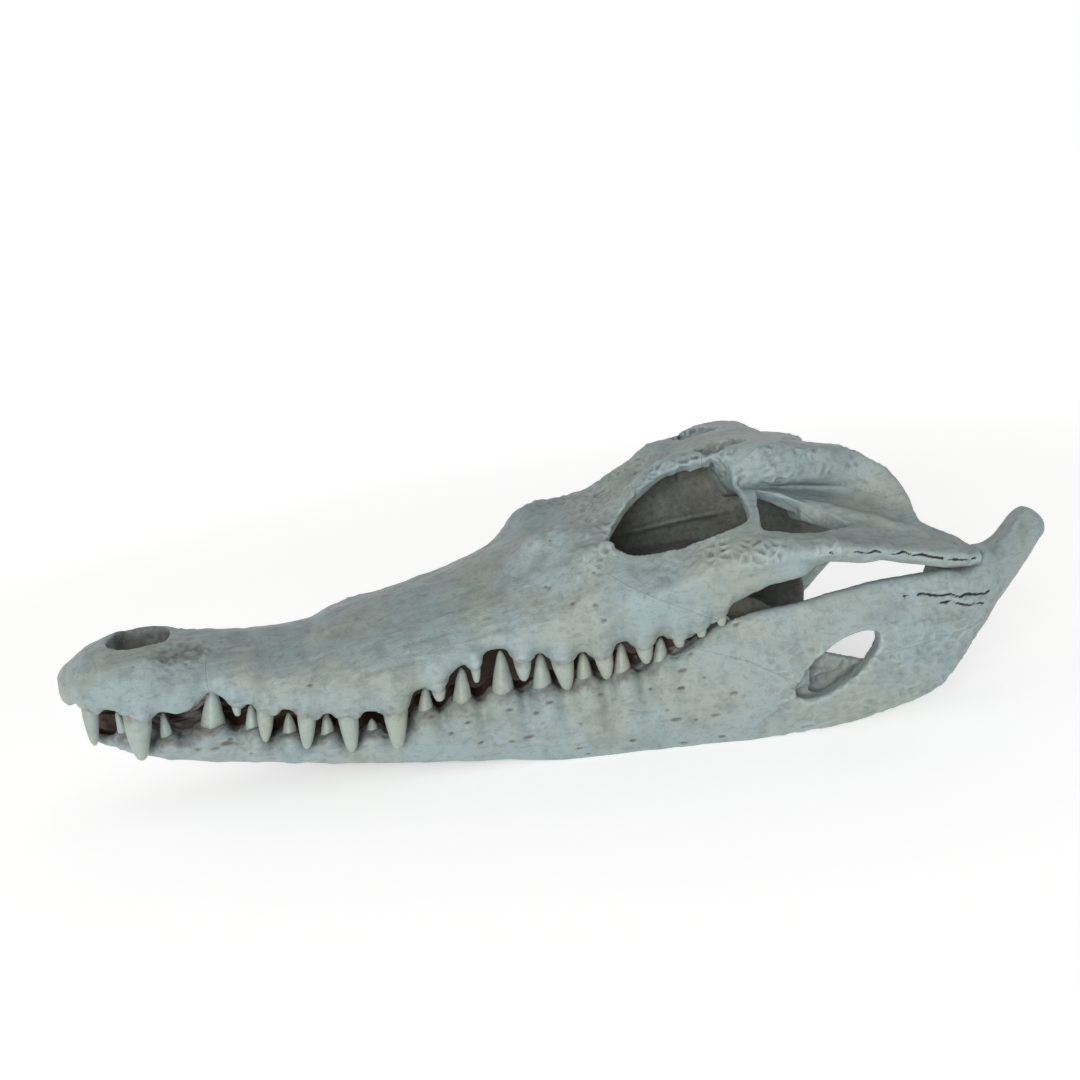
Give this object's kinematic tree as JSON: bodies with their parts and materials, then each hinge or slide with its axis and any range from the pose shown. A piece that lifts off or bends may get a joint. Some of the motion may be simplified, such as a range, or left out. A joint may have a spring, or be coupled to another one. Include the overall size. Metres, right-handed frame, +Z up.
{
  "type": "crocodile skull",
  "caption": "Long-snouted reptile skull with its lower jaw closed, eye sockets high on a flat skull roof, interlocking cone-shaped teeth and a window in each side of the rear jaw.",
  "frame": {"origin": "on the surface the jaw stands on, under the middle of the skull's length and width", "axes": "+X towards the back of the head, +Y towards the animal's right side, +Z up"},
  "size_m": [0.392, 0.163, 0.109],
  "materials": {
    "bone": "dry cleaned bone, pale grey-green with cream patches, softly glossy",
    "inner_bone": "dry bone inside the skull, darker and duller"
  },
  "bodies": {
    "root": {"nasals": "bone", "frontal": "bone", "parietal": "bone", "braincase": "inner_bone", "palatines": "inner_bone", "pterygoid": "inner_bone", "premaxilla_right": "bone", "premaxilla_left": "bone", "maxilla_right": "bone", "maxilla_left": "bone", "prefrontal_right": "bone", "prefrontal_left": "bone", "lacrimal_right": "bone", "lacrimal_left": "bone", "jugal_right": "bone", "jugal_left": "bone", "postorbital_right": "bone", "postorbital_left": "bone", "squamosal_right": "bone", "squamosal_left": "bone", "quadratojugal_right": "bone", "quadratojugal_left": "bone", "quadrate_right": "bone", "quadrate_left": "bone", "ectopterygoid_right": "inner_bone", "ectopterygoid_left": "inner_bone", "dentary_right": "bone", "dentary_left": "bone", "surangular_right": "bone", "surangular_left": "bone", "angular_right": "bone", "angular_left": "bone", "articular_right": "bone", "articular_left": "bone"}
  },
  "joints": []
}
